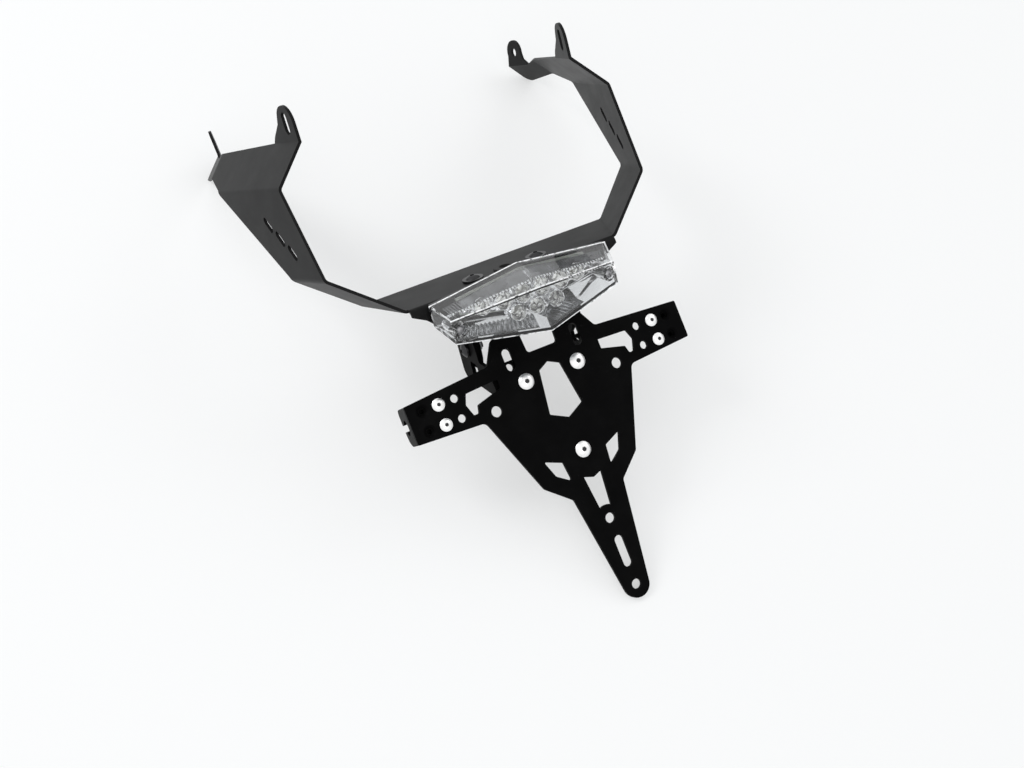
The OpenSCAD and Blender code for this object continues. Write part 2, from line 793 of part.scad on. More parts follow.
module lamp_gasket() {
  color([0.05, 0.05, 0.05])
    laid_down()
      difference() {
        translate([0, pan_back + gasket_t, 0])
          facing_back()
            linear_extrude(gasket_t)
              intersection() {
                pan_outline(-2);
                translate([-gasket_half, lens_up - gasket_low])
                  square([2 * gasket_half, gasket_h]);
              }
        both_sides()
          translate([stud_half, pan_back + gasket_t + 1, stud_z])
            facing_back()
              cylinder(d = m5 + 2 * shank_clear, h = gasket_t + 2);
      }
}
stud_l = stud_in + gasket_t + hoop_t + stud_out;
module lamp_studs() {
  color("silver")
    laid_down()
      both_sides()
        translate([stud_half, pan_back + gasket_t + hoop_t + stud_out, stud_z])
          facing_back()
            cylinder(d = m5, h = stud_l);
}
module lamp_nuts() {
  color("silver")
    laid_down()
      both_sides()
        translate([stud_half, flange_back + nut_m5_h, stud_z])
          facing_back()
            hex_nut(m5, nut_m5, nut_m5_h);
}

// Inside the light: a circuit board, the LEDs on it and a bright reflector
board_t = 1.6;
board_y = pan_y - board_t - seat_gap;
board_half = lens_screw_half - boss_r - 2;
board_reach = 16;
led_rows = [[lens_up - 1.6, led_count], [lens_up - 10.8, led_count / 2]];
led_r = 2.5;
led_h = 6;
reflector_t = 1.2;
reflector_y = board_y - 2.2;
bowl_r = 4.8;
bowl_h = 5.5;
module led_places() {
  for (row = led_rows)
    for (i = [0 : row[1] - 1])
      translate([(i - (row[1] - 1) / 2) * led_pitch, board_y, row[0]])
        facing_back()
          children();
}
module led_board() {
  color("darkgreen")
    laid_down()
      translate([0, board_y + board_t, 0])
        facing_back()
          linear_extrude(board_t)
            intersection() {
              pan_outline(-3.5);
              translate([-board_half, lens_up - board_reach])
                square([2 * board_half, 2 * board_reach]);
            }
}
module leds() {
  color([0.95, 0.9, 0.85])
    laid_down()
      led_places() {
        cylinder(r = led_r, h = led_h - led_r);
        translate([0, 0, led_h - led_r])
          sphere(r = led_r);
      }
}
module lamp_reflector() {
  color([0.8, 0.8, 0.82])
    laid_down()
      difference() {
        union() {
          translate([0, reflector_y, 0])
            facing_back()
              linear_extrude(reflector_t)
                intersection() {
                  pan_outline(-5);
                  translate([-board_half, lens_up - board_reach + 1])
                    square([2 * board_half, 2 * board_reach - 2]);
                }
          led_places()
            translate([0, 0, 0.6])
              cylinder(r1 = led_r + 1, r2 = bowl_r + 0.8, h = bowl_h);
        }
        led_places()
          translate([0, 0, 0.6 - eps])
            cylinder(r1 = led_r + 0.3, r2 = bowl_r, h = bowl_h + 2 * eps);
      }
}

// Outlines of the holder, in its own plane
arm_top = arm_low + arm_h;
ear_foot = [38.3, arm_top + 4.3];
ear_shoulder = [30.5, ear_top - 3];
notch_half = 10.4;
notch_low = 168.9;
arm_root = [52, arm_low - 2.7];
tip_side = let (
    v = [waist_half, waist_up - tip_r],
    w = atan2(v.y, v.x) - acos(tip_r / norm(v))
  )
  [tip_r * cos(w), tip_r + tip_r * sin(w)];
holder_half = [
  [tip_side.x, tip_side.y, 0],
  [waist_half, waist_up, 3],
  [hem_half, hem_up, 4],
  [arm_root.x, arm_root.y, 4],
  [arm_half, arm_low, 1],
  [arm_half, arm_top, 1],
  [ear_foot.x, ear_foot.y, 3],
  [ear_shoulder.x, ear_shoulder.y, 3],
  [ear_shoulder.x - 5, ear_top, 3],
  [notch_half + 1, ear_top, 2],
  [notch_half, notch_low, 2]
];
window_half = [[7.5, 155.8, 0.8], [11.7, 127.7, 1]];
window_top = 159.6;
window_low = 121.7;
diamond = [[27, 101.8, 0.6], [15.3, 96.8, 1], [14, 84.1, 1], [23, 90.7, 2.5]];
arm_cut = [
  [35.1, 160.5, 1], [35.4, 154.7, 1], [52.4, 150.2, 1], [53.8, 145.2, 1],
  [57.3, 145.2, 1], [59.8, 152.7, 1], [57.3, 159.3, 1]
];
vee_top = 83.4;
vee_low = 60.8;
holder_screw_high = [18.3, 152.6];
holder_screw_low = 99.8;
block_screw_x = arm_half - 20.6;
spare_x = arm_half - 9.9;
small_x = arm_half - 31.5;
screw_row = [arm_low + 5.5, arm_low + 18.6];
small_d = 5.2;
eye_r = 8.7;
sink_d = 8.4;
sink_h = 1.8;
ear_slot = [23.7, 169];
tab_hole = [24.1, 164.3];

module holder_outline() {
  polygon(rounded(mirrored(holder_half)));
  translate([0, tip_r])
    circle(r = tip_r, $fn = 96);
}
module holder_windows() {
  polygon(rounded(concat([[0, window_top, 0.8]], window_half, [[0, window_low, 0.8]],
    reversed([for (p = window_half) [-p.x, p.y, p.z]]))));
  difference() {
    polygon([[6.3, vee_top], [3.9, vee_low - 1], [-3.9, vee_low - 1], [-6.3, vee_top], [0, vee_top - 2.3]]);
    translate([0, tail_hole_up])
      circle(r = eye_r);
  }
  both_sides() {
    polygon(rounded(diamond));
    polygon(rounded(arm_cut));
  }
}
module plate_holder() {
  color([0.06, 0.06, 0.06])
    laid_down()
      on_plate()
        translate([0, 0, -plate_t])
          difference() {
            linear_extrude(plate_t)
              difference() {
                holder_outline();
                holder_windows();
              }
            translate([0, 0, -1]) {
              translate([0, tip_r, 0])
                cylinder(d = tip_hole_d, h = plate_t + 2);
              translate([0, tail_hole_up, 0])
                cylinder(d = tail_hole_d, h = plate_t + 2);
              translate([0, tail_slot_up, 0])
                slot_cut(tail_slot_w, tail_slot_l, plate_t + 2);
              translate([0, holder_screw_low, 0])
                cylinder(d = m5 + 2 * shank_clear, h = plate_t + 2);
              both_sides() {
                translate([holder_screw_high.x, holder_screw_high.y, 0])
                  cylinder(d = m5 + 2 * shank_clear, h = plate_t + 2);
                translate([plate_hole_half, plate_hole_up, 0])
                  cylinder(d = plate_hole_d, h = plate_t + 2);
                translate([ear_slot.x, ear_slot.y, 0])
                  slot_cut(ear_slot_w, ear_slot_l, plate_t + 2);
                for (s = screw_row) {
                  translate([block_screw_x, s, 0])
                    cylinder(d = m4 + 2 * shank_clear, h = plate_t + 2);
                  translate([spare_x, s, 0])
                    cylinder(d = m4 + 2 * shank_clear, h = plate_t + 2);
                  translate([small_x, s, 0])
                    cylinder(d = small_d, h = plate_t + 2);
                }
              }
            }
            both_sides()
              for (s = screw_row)
                translate([spare_x, s, plate_t - sink_h])
                  cylinder(d1 = m4 + 2 * shank_clear, d2 = sink_d, h = sink_h + eps);
          }
}

// Lower bracket: a panel behind the holder with two cheeks folded forwards
function rear_at(z) = (z * sin(lean) + plate_t) / cos(lean);
panel_low = (lower_edge + plate_t * sin(lean)) / cos(lean) - 5.4;
panel_top = panel_low + 25.4;
panel_in = 13.5;
// A window in each cheek, between its lower edge and the pivot
cheek_window_w = 12;
cheek_window_edge = 3.2;
cheek_window_top = 8;
module lower_bracket() {
  color([0.08, 0.08, 0.08])
    laid_down()
      difference() {
        union() {
          on_plate()
            translate([0, 0, -plate_t - bracket_t])
              linear_extrude(bracket_t)
                difference() {
                  polygon(rounded([
                    [lower_out, panel_low, 0], [lower_out, panel_top, 2],
                    [-lower_out, panel_top, 2], [-lower_out, panel_low, 0]
                  ]));
                  polygon([
                    [panel_in, panel_low - 1], [panel_in, window_top - 4], [panel_in - 4, window_top + 1.5],
                    [4 - panel_in, window_top + 1.5], [-panel_in, window_top - 4], [-panel_in, panel_low - 1]
                  ]);
                }
          both_sides()
            translate([lower_in, 0, 0])
              rotate([90, 0, 90])
                linear_extrude(bracket_t) {
                  polygon(rounded([
                    [rear_at(lower_edge), lower_edge, 0],
                    [pivot_y + lower_end_r, lower_edge, 6],
                    [pivot_y + lower_end_r, pivot_z, 0],
                    [pivot_y - lower_end_r, pivot_z, 0],
                    [pivot_y - lower_end_r, lower_edge + beam_h, 2],
                    [rear_at(lower_edge + beam_h), lower_edge + beam_h, 0]
                  ]));
                  translate([pivot_y, pivot_z])
                    circle(r = lower_end_r);
                }
        }
        on_plate()
          translate([0, 0, -plate_t - bracket_t - 1])
            both_sides() {
              translate([holder_screw_high.x, holder_screw_high.y, 0])
                cylinder(d = m5 + 2 * shank_clear, h = bracket_t + 2);
              translate([tab_hole.x, tab_hole.y, 0])
                cylinder(d = small_d, h = bracket_t + 2);
            }
        both_sides() {
          translate([lower_in - 1, pivot_y, pivot_z])
            rotate([0, 90, 0])
              cylinder(d = m5 + 2 * pivot_clear, h = bracket_t + 2);
          translate([lower_in - 1, 0, 0])
            rotate([90, 0, 90])
              linear_extrude(bracket_t + 2)
                polygon(rounded([
                  [pivot_y - cheek_window_w, lower_edge + cheek_window_edge, 3],
                  [pivot_y, lower_edge + cheek_window_edge, 3],
                  [pivot_y, pivot_z - cheek_window_top, 3],
                  [pivot_y - cheek_window_w, pivot_z - cheek_window_top, 3]
                ]));
        }
      }
}

holder_grip = plate_t + bracket_t;
module holder_screws() {
  color("silver")
    laid_down()
      on_plate() {
        both_sides()
          translate([holder_screw_high.x, holder_screw_high.y, 0])
            screw(m5, head_m5, holder_grip + nut_m5_h + 1, head_m5, 0.6);
        translate([0, holder_screw_low, 0])
          screw(m5, head_m5, holder_grip + nut_m5_h + 1, head_m5, 0.6);
      }
}
module holder_nuts() {
  color("silver")
    laid_down()
      on_plate() {
        both_sides()
          translate([holder_screw_high.x, holder_screw_high.y, -holder_grip - nut_m5_h])
            hex_nut(m5, nut_m5, nut_m5_h);
        translate([0, holder_screw_low, -plate_t - nut_m5_h])
          hex_nut(m5, nut_m5, nut_m5_h);
      }
}

// Indicator blocks behind the ends of the arms
block_taper = [9, 8];
block_round = [8, 4];
stalk_up = arm_low + 12.3;
block_tap_l = 5;
spare_tap_d = m4 - 0.7;
module block() {
  translate([0, 0, -plate_t])
    difference() {
      translate([arm_half - block_l, 0, 0])
        rotate([90, 0, 90])
          linear_extrude(block_l)
            polygon(rounded([
              [arm_low + 0.1, 0, 0], [arm_low + 0.1, -block_d, block_round[0]],
              [arm_top - 0.1, -block_d, block_round[1]], [arm_top - 0.1, 0, 0]
            ]));
      translate([arm_half - block_l, arm_low - 1, 0])
        rotate([-90, 0, 0])
          linear_extrude(arm_h + 2)
            polygon([
              [-1, block_taper[1]], [0, block_taper[1]],
              [block_taper[0], block_d + 1], [-1, block_d + 1]
            ]);
      translate([arm_half - stalk_l, stalk_up, -stalk_in])
        rotate([0, 90, 0])
          cylinder(d = stalk_d, h = stalk_l + 1);
      translate([arm_half - stalk_l, stalk_up - stalk_slot / 2, -block_d - 1])
        cube([stalk_l + 1, stalk_slot, block_d + 1 - stalk_in]);
      for (s = screw_row) {
        translate([block_screw_x, s, -block_tap_l - 1])
          cylinder(d = m4 + 2 * thread_clear, h = block_tap_l + 2);
        translate([spare_x, s, -block_tap_l])
          cylinder(d = spare_tap_d, h = block_tap_l + 1);
      }
    }
}
module indicator_block_left() {
  color([0.09, 0.09, 0.09])
    laid_down()
      on_plate()
        mirror([1, 0, 0])
          block();
}
module indicator_block_right() {
  color([0.09, 0.09, 0.09])
    laid_down()
      on_plate()
        block();
}
module block_screws() {
  color("silver")
    laid_down()
      on_plate()
        both_sides()
          for (s = screw_row)
            translate([block_screw_x, s, 0])
              screw(m4, head_m4, plate_t + block_tap_l, head_m4, 0.5);
}

tail_hoop();
hoop_screws();
hoop_nuts();
cable_grommet();
upper_bracket();
pivot_screws();
pivot_washers();
pivot_nuts();
lamp_pan();
lamp_gasket();
led_board();
leds();
lamp_reflector();
lamp_lens();
lens_screws();
lamp_studs();
lamp_nuts();
plate_holder();
lower_bracket();
holder_screws();
holder_nuts();
indicator_block_left();
indicator_block_right();
block_screws();
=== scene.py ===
import bpy
import json
from math import radians
from mathutils import Matrix, Vector

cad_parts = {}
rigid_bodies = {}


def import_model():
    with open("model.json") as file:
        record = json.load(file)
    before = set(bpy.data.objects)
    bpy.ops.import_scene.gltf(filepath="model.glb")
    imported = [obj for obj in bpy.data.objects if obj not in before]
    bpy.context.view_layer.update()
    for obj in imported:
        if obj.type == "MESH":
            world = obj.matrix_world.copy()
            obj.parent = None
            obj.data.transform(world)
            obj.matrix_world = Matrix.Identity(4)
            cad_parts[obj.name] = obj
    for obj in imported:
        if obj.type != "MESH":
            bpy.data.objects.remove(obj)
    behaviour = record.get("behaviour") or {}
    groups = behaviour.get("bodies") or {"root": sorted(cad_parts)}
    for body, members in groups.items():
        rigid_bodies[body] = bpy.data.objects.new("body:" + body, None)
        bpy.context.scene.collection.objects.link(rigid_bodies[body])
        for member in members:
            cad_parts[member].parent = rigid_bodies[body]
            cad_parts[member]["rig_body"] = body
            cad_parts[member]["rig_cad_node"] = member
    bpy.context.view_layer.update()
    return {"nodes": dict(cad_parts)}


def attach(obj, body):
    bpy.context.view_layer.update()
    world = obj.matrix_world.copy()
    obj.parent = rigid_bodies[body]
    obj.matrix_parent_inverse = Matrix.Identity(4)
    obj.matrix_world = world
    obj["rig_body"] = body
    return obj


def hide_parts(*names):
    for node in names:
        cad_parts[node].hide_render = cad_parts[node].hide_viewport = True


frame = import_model()
nodes = frame["nodes"]

# The part was drawn upright on the motorbike and then laid down on its feet
lean = radians(-43.6961)
feet_place = (0, -0.2163535, 0.0027448)
laid = Matrix.Translation(feet_place) @ Matrix.Rotation(lean, 4, "X")
upright = laid.inverted()


def on_bike(point):
    """The place in the scene of a point given as on the motorbike, in mm."""
    return laid @ (Vector(point) / 1000)


class Wire:
    """A value or colour on its way through a material."""

    def __init__(self, finish, socket):
        self.finish = finish
        self.socket = socket

    def maths(self, operation, first, second=None, clamp=False):
        sockets = {0: first}
        if second is not None:
            sockets[1] = second
        return self.finish.node("ShaderNodeMath", {"operation": operation, "use_clamp": clamp}, sockets)

    def __add__(self, other):
        return self.maths("ADD", self, other)

    __radd__ = __add__

    def __sub__(self, other):
        return self.maths("SUBTRACT", self, other)

    def __rsub__(self, other):
        return self.maths("SUBTRACT", other, self)

    def __mul__(self, other):
        return self.maths("MULTIPLY", self, other)

    def __truediv__(self, other):
        return self.maths("DIVIDE", self, other)

    def __pow__(self, other):
        return self.maths("POWER", self, other)

    def below(self, limit):
        return self.maths("LESS_THAN", self, limit)

    def held(self):
        """Kept between 0 and 1."""
        return self.maths("ADD", self, 0.0, clamp=True)

    def spread(self, low, high):
        """0 below low, 1 above high and smooth between."""
        return self.finish.node(
            "ShaderNodeMapRange",
            {"interpolation_type": "SMOOTHSTEP"},
            {"Value": self, "From Min": low, "From Max": high, "To Min": 0.0, "To Max": 1.0},
        )


class Finish:
    """One material, with its main shader and its object coordinates at hand."""

    def __init__(self, name, **constants):
        self.material = bpy.data.materials.new(name)
        self.material.use_nodes = True
        self.tree = self.material.node_tree
        self.tree.nodes.clear()
        self.shader = self.tree.nodes.new("ShaderNodeBsdfPrincipled")
        self.output = self.tree.nodes.new("ShaderNodeOutputMaterial")
        self.tree.links.new(self.shader.outputs[0], self.output.inputs["Surface"])
        for socket, value in constants.items():
            self.shader.inputs[socket.replace("_", " ")].default_value = value

    def node(self, kind, settings=None, sockets=None, output=0):
        made = self.tree.nodes.new(kind)
        for key, value in (settings or {}).items():
            setattr(made, key, value)
        for key, value in (sockets or {}).items():
            if isinstance(value, Wire):
                self.tree.links.new(value.socket, made.inputs[key])
            else:
                made.inputs[key].default_value = value
        return Wire(self, made.outputs[output])

    def place(self):
        return self.node("ShaderNodeTexCoord", output="Object")

    def mapped(self, **changes):
        return self.node("ShaderNodeMapping", None, {"Vector": self.place(), **changes})

    def noise(self, scale, detail=2.0, roughness=0.5, vector=None):
        sockets = {"Vector": vector or self.place(), "Scale": scale, "Detail": detail, "Roughness": roughness}
        return self.node("ShaderNodeTexNoise", None, sockets, "Fac")

    def cells(self, scale, feature="F1"):
        sockets = {"Vector": self.place(), "Scale": scale}
        return self.node("ShaderNodeTexVoronoi", {"feature": feature}, sockets, "Distance")

    def axis(self, name, vector):
        return self.node("ShaderNodeSeparateXYZ", None, {"Vector": vector}, name)

    def facing_up(self):
        normal = self.node("ShaderNodeNewGeometry", output="Normal")
        return self.axis("Z", normal)

    def blend(self, share, first, second):
        """A colour that goes from the first to the second with share."""
        return self.node("ShaderNodeMix", {"data_type": "RGBA"}, {"Factor": share, 6: first, 7: second}, 2)

    def bump(self, height, strength, distance):
        return self.node("ShaderNodeBump", None, {"Height": height, "Strength": strength, "Distance": distance})

    def mixed(self, share, second):
        """The main shader goes over to a second one with share."""
        body = Wire(self, self.shader.outputs[0])
        both = self.node("ShaderNodeMixShader", None, {0: share, 1: body, 2: second})
        self.tree.links.new(both.socket, self.output.inputs["Surface"])
        return self.material

    def feed(self, **wires):
        for socket, wire in wires.items():
            self.tree.links.new(wire.socket, self.shader.inputs[socket.replace("_", " ")])
        return self.material


def powder_coat(name, colour, dust, gloss, grain, depth, shine):
    """Baked powder paint: fine grain, faint cloudy gloss and a little dust on top."""
    paint = Finish(name, Specular_IOR_Level=shine)
    cloud = paint.noise(55.0, 4.0, 0.6)
    speck = paint.cells(1500.0).below(0.09) * paint.noise(400.0, 1.0).spread(0.55, 0.7)
    lying = paint.facing_up().spread(0.2, 0.95) * cloud.spread(0.35, 0.75)
    pale_dust = [part * 1.8 for part in dust[:3]] + [1]
    tone = paint.blend(lying * 0.5, colour, dust)
    tone = paint.blend(speck * 0.5, tone, pale_dust)
    rough = gloss + (cloud - 0.5) * 0.14 + speck * 0.2
    peel = paint.noise(grain, 2.0) + paint.noise(grain * 0.2, 2.0) * 0.7
    return paint.feed(Base_Color=tone, Roughness=rough.held(), Normal=paint.bump(peel, 0.25, depth))


def turned_steel(name, colour, dark, rough, streak):
    """Machined steel with tool marks, fine scratches and a slightly dull bloom."""
    steel = Finish(name, Metallic=1.0)
    cloud = steel.noise(260.0, 3.0, 0.6)
    scratch = steel.noise(1.0, 3.0, 0.7, steel.mapped(Scale=(9000.0, 700.0, 3000.0), Rotation=(0.5, 0.4, 0.2)))
    tone = steel.blend(cloud.spread(0.45, 0.8) * 0.6, colour, dark)
    gloss = rough + (cloud - 0.5) * 0.15 + scratch.spread(0.55, 0.8) * streak
    return steel.feed(Base_Color=tone, Roughness=gloss.held(), Normal=steel.bump(scratch, 0.2, 0.00002))


def moulded(name, colour, pale, rough, grain):
    """Moulded plastic or rubber with a spark-eroded grain and handling marks."""
    skin = Finish(name, Specular_IOR_Level=0.4)
    cloud = skin.noise(80.0, 4.0, 0.6)
    tone = skin.blend(cloud.spread(0.4, 0.8) * 0.6, colour, pale)
    gloss = rough + (cloud - 0.5) * 0.15
    grit = skin.cells(grain)
    return skin.feed(Base_Color=tone, Roughness=gloss.held(), Normal=skin.bump(grit, 0.3, 0.00004))


def clear_lens(name, tint, rims):
    """Clear polished plastic with faint moulding waves, and painted highlights along its rims: milky white
    lines that glow a little.
    """
    clear = Finish(name, Base_Color=tint, Roughness=0.03, IOR=1.49, Transmission_Weight=1.0)
    wave = clear.noise(120.0, 2.0)
    haze = clear.noise(900.0, 2.0).spread(0.6, 0.8) * 0.12 + 0.03
    clear.feed(Roughness=haze, Normal=clear.bump(wave, 0.25, 0.0003))
    if not rims:
        return clear.material
    bike = clear.mapped(Rotation=upright.to_euler(), Location=upright.to_translation())
    side, forward, up = [clear.axis(name, bike) for name in "XYZ"]
    across = side.maths("ABSOLUTE", side)
    lines = [rim_line(across, forward, up, *rim) for rim in rims]
    broken = clear.noise(500.0, 2.0).spread(0.3, 0.5)
    # Painted highlight: a milky white shader that glows a little, mixed in along the rims
    painted_rim_highlight = clear.node("ShaderNodeBsdfPrincipled", None, {
        "Base Color": (0.95, 0.96, 0.97, 1), "Roughness": 0.25,
        "Emission Color": (1, 1, 1, 1), "Emission Strength": 0.2,
    })
    return clear.mixed((sum(lines[1:], lines[0]) * broken).held() * 0.8, painted_rim_highlight)


def rim_line(across, forward, up, half, middle, end, width, teeth):
    """1 along one rim of the lens, where a painted highlight goes, from its middle to its ends, and 0 away from
    it.
    """
    share = across * (1000.0 / half)
    off_forward, off_up = [
        part - (start + share * (stop - start)) / 1000.0
        for part, start, stop in zip((forward, up), middle, end)
    ]
    gap = (off_forward * off_forward + off_up * off_up) ** 0.5
    line = 1.0 - gap.spread(width * 0.0005, width * 0.001)
    if teeth:
        line = line * share.maths("FRACT", share * teeth).below(0.6)
    return line


# Painted highlights: milky glowing lines along the rims of the lens and of its top ribs
# Half the length, forward and up in the middle, the same at the end, and the width, all in mm,
# and then the count of teeth
lens_highlight_rims = (
    (56.0, (40.0, 202.1), (55.0, 196.1), 0.7, 0.0),
    (56.0, (40.0, 173.1), (55.0, 181.1), 0.8, 0.0),
    (61.5, (73.0, 211.4), (73.0, 204.15), 1.5, 0.0),
    (61.5, (73.0, 177.4), (73.0, 190.65), 0.8, 0.0),
)
rib_highlight_rims = ((52.5, (52.6, 202.6), (60.9, 196.5), 1.8, 26.0),)


def mirror_coat():
    """Vacuum-metallised plastic, bright with small ripples and facets; its dark patches are painted reflection
    of dark surroundings.
    """
    bright = Finish("mirror_coat", Metallic=1.0)
    cloud = bright.noise(300.0, 3.0)
    # Painted reflection: some facets and ripples are dark in the colour itself, standing in for dark
    # surroundings they mirror
    facet_and_painted_reflection = bright.cells(330.0).spread(0.55, 0.85)
    shade = (facet_and_painted_reflection + cloud.spread(0.5, 0.8) * 0.2).held() * 0.85
    tone = bright.blend(shade, (0.97, 0.975, 0.98, 1), (0.1, 0.1, 0.105, 1))
    rough = (cloud * 0.3 + 0.08).held()
    return bright.feed(Base_Color=tone, Roughness=rough, Normal=bright.bump(cloud + facet_and_painted_reflection, 0.8, 0.0006))


def board_mask():
    """White solder mask with copper tracks just showing."""
    board = Finish("board_mask", Roughness=0.35)
    track = board.cells(240.0, feature="DISTANCE_TO_EDGE").below(0.12)
    tone = board.blend(track * 0.35, (0.62, 0.64, 0.6, 1), (0.4, 0.43, 0.36, 1))
    return board.feed(Base_Color=tone, Normal=board.bump(track, 0.4, 0.00004))


def led_body_painted_glow():
    """Milky epoxy, bright and glossy, with dark specks of its chip showing, and a painted glow: it shines
    faintly in its own colour though it is not lit.
    """
    # Painted light: the emission makes the unlit LED glow faintly in its own colour
    led = Finish("led_body_painted_glow", Roughness=0.15, Coat_Weight=0.6, Emission_Strength=0.45)
    cloud = led.cells(380.0) + led.noise(700.0, 2.0) * 0.3
    tone = led.blend(cloud.spread(0.55, 0.85), (0.97, 0.97, 0.95, 1), (0.2, 0.2, 0.18, 1))
    return led.feed(Base_Color=tone, Emission_Color=tone)


def grey(low, blue=None):
    """A grey with an optional blue value of its own."""
    return (low, low, low if blue is None else blue, 1)


holder_paint = powder_coat("holder_paint", grey(0.0014, 0.0015), grey(0.005), 0.55, 2600.0, 0.00003, 0.03)
bracket_paint = powder_coat("bracket_paint", grey(0.0016), grey(0.004), 0.5, 2600.0, 0.00003, 0.02)
hoop_paint = powder_coat("hoop_paint", grey(0.005, 0.0052), grey(0.013, 0.0135), 0.42, 2200.0, 0.00002, 0.1)
block_paint = powder_coat("block_paint", grey(0.003), grey(0.009), 0.45, 3200.0, 0.00002, 0.04)
bright_steel = turned_steel("bright_steel", grey(0.93), grey(0.7, 0.69), 0.3, 0.12)
zinc_steel = turned_steel("zinc_steel", (0.62, 0.63, 0.64, 1), (0.42, 0.43, 0.42, 1), 0.32, 0.2)
dull_steel = turned_steel("dull_steel", grey(0.3, 0.31), grey(0.12), 0.35, 0.2)
dark_steel = turned_steel("dark_steel", grey(0.05, 0.052), grey(0.02), 0.35, 0.15)
rubber = moulded("rubber", grey(0.018), grey(0.035), 0.7, 1800.0)
black_plastic = moulded("black_plastic", grey(0.014), grey(0.03), 0.45, 2400.0)
lens_plastic = clear_lens("clear_lens", (0.9, 0.91, 0.92, 1), lens_highlight_rims)
rib_plastic = clear_lens("clear_ribs", (0.28, 0.285, 0.29, 1), rib_highlight_rims)
low_rib_plastic = clear_lens("clear_low_ribs", (0.85, 0.86, 0.87, 1), ())
mirror = mirror_coat()
board = board_mask()
led = led_body_painted_glow()


def only(piece):
    """Deselects all but one piece and makes it active."""
    bpy.ops.object.select_all(action="DESELECT")
    piece.select_set(True)
    bpy.context.view_layer.objects.active = piece


def edit(*operations):
    """One or more operations in edit mode on the active piece, each with its settings."""
    bpy.ops.object.mode_set(mode="EDIT")
    for operation, settings in operations:
        operation(**settings)
    bpy.ops.object.mode_set(mode="OBJECT")


def modify(piece, kind, **settings):
    """Adds one modifier and applies it."""
    modifier = piece.modifiers.new("step", kind)
    for key, value in settings.items():
        setattr(modifier, key, value)
    bpy.ops.object.modifier_apply(modifier="step")


def finish_piece(piece, name, material, body):
    """Names a piece and gives it its material and its body."""
    piece.name = name
    piece.data.materials.clear()
    piece.data.materials.append(material)
    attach(piece, body)


def broken_edges(node, width, material):
    """A copy of a CAD node with its sharp edges broken, which stands for it."""
    body = nodes[node]["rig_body"]
    only(nodes[node])
    bpy.ops.object.duplicate()
    copy = bpy.context.view_layer.objects.active
    copy.parent = None
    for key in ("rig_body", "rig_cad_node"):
        if key in copy:
            del copy[key]
    edit(
        (bpy.ops.mesh.select_all, {"action": "SELECT"}),
        (bpy.ops.mesh.remove_doubles, {"threshold": 0.000002}),
        (bpy.ops.mesh.dissolve_limited, {"angle_limit": radians(0.6)}),
    )
    modify(copy, "BEVEL", width=width, segments=2, limit_method="ANGLE", angle_limit=radians(30))
    bpy.ops.object.shade_smooth_by_angle(angle=radians(32))
    modify(copy, "WEIGHTED_NORMAL", keep_sharp=True, weight=100)
    finish_piece(copy, node + "_finished", material, body)
    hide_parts(node)


# Width of the broken edge in metres, material and slot of each node
edges = {
    "tail_hoop": (0.0004, hoop_paint, "satin_black_metal"),
    "plate_holder": (0.00035, holder_paint, "matte_black_metal"),
    "upper_bracket": (0.0003, bracket_paint, "bracket_black"),
    "lower_bracket": (0.0003, bracket_paint, "bracket_black"),
    "indicator_block_left": (0.0005, block_paint, "block_black"),
    "indicator_block_right": (0.0005, block_paint, "block_black"),
    "holder_screws": (0.0001, bright_steel, "bright_steel"),
    "block_screws": (0.0001, bright_steel, "bright_steel"),
    "pivot_screws": (0.0001, dark_steel, "dark_steel"),
    "lens_screws": (0.00008, dull_steel, "bright_steel"),
    "hoop_screws": (0.00015, dark_steel, "dark_steel"),
    "hoop_nuts": (0.0003, zinc_steel, "zinc_steel"),
    "holder_nuts": (0.0003, zinc_steel, "zinc_steel"),
    "lamp_nuts": (0.0003, zinc_steel, "zinc_steel"),
    "pivot_nuts": (0.0003, zinc_steel, "zinc_steel"),
    "pivot_washers": (0.0001, dark_steel, "dark_steel"),
    "lamp_studs": (0.0002, zinc_steel, "zinc_steel"),
    "cable_grommet": (0.0004, rubber, "rubber"),
    "lamp_gasket": (0.0002, rubber, "rubber"),
    "lamp_pan": (0.0003, black_plastic, "black_plastic"),
    "lamp_lens": (0.0005, lens_plastic, "clear_plastic"),
}
for node, (width, material, slot) in edges.items():
    broken_edges(node, width, material)
for node, material in (("lamp_reflector", mirror), ("led_board", board), ("leds", led)):
    nodes[node].data.materials.clear()
    nodes[node].data.materials.append(material)


def settle(piece):
    """Puts a piece's place and turn into its mesh."""
    only(piece)
    bpy.ops.object.transform_apply(location=True, rotation=True, scale=True)
    return piece


def wall_rail(start, end, steps):
    """A straight row of edges from start to end."""
    span = end - start
    turn = span.to_track_quat("X", "Z")
    far = turn @ Vector((0, span.length / 2, 0))
    bpy.ops.object.select_all(action="DESELECT")
    bpy.ops.mesh.primitive_grid_add(
        x_subdivisions=steps, y_subdivisions=1, size=span.length,
        rotation=turn.to_euler(), location=(start + end) / 2 + far,
    )
    rail = settle(bpy.context.view_layer.objects.active)
    edit((bpy.ops.mesh.select_mode, {"type": "VERT"}), (bpy.ops.mesh.select_all, {"action": "DESELECT"}))
    for vertex in rail.data.vertices:
        vertex.select = (vertex.co - start).dot(far) > far.length_squared * 0.5
    edit((bpy.ops.mesh.delete, {"type": "VERT"}))
    return rail


def nearest_foot(spot, spans, rise):
    """How far a spot is from the nearest of the spans, how far along rise, and its share of that span."""
    feet = []
    for start, end in spans:
        along = (end - start).normalized()
        run = (spot - start).dot(along)
        away = spot - start - along * run
        feet.append((away.length, away.dot(rise), run / (end - start).length))
    return min(feet)


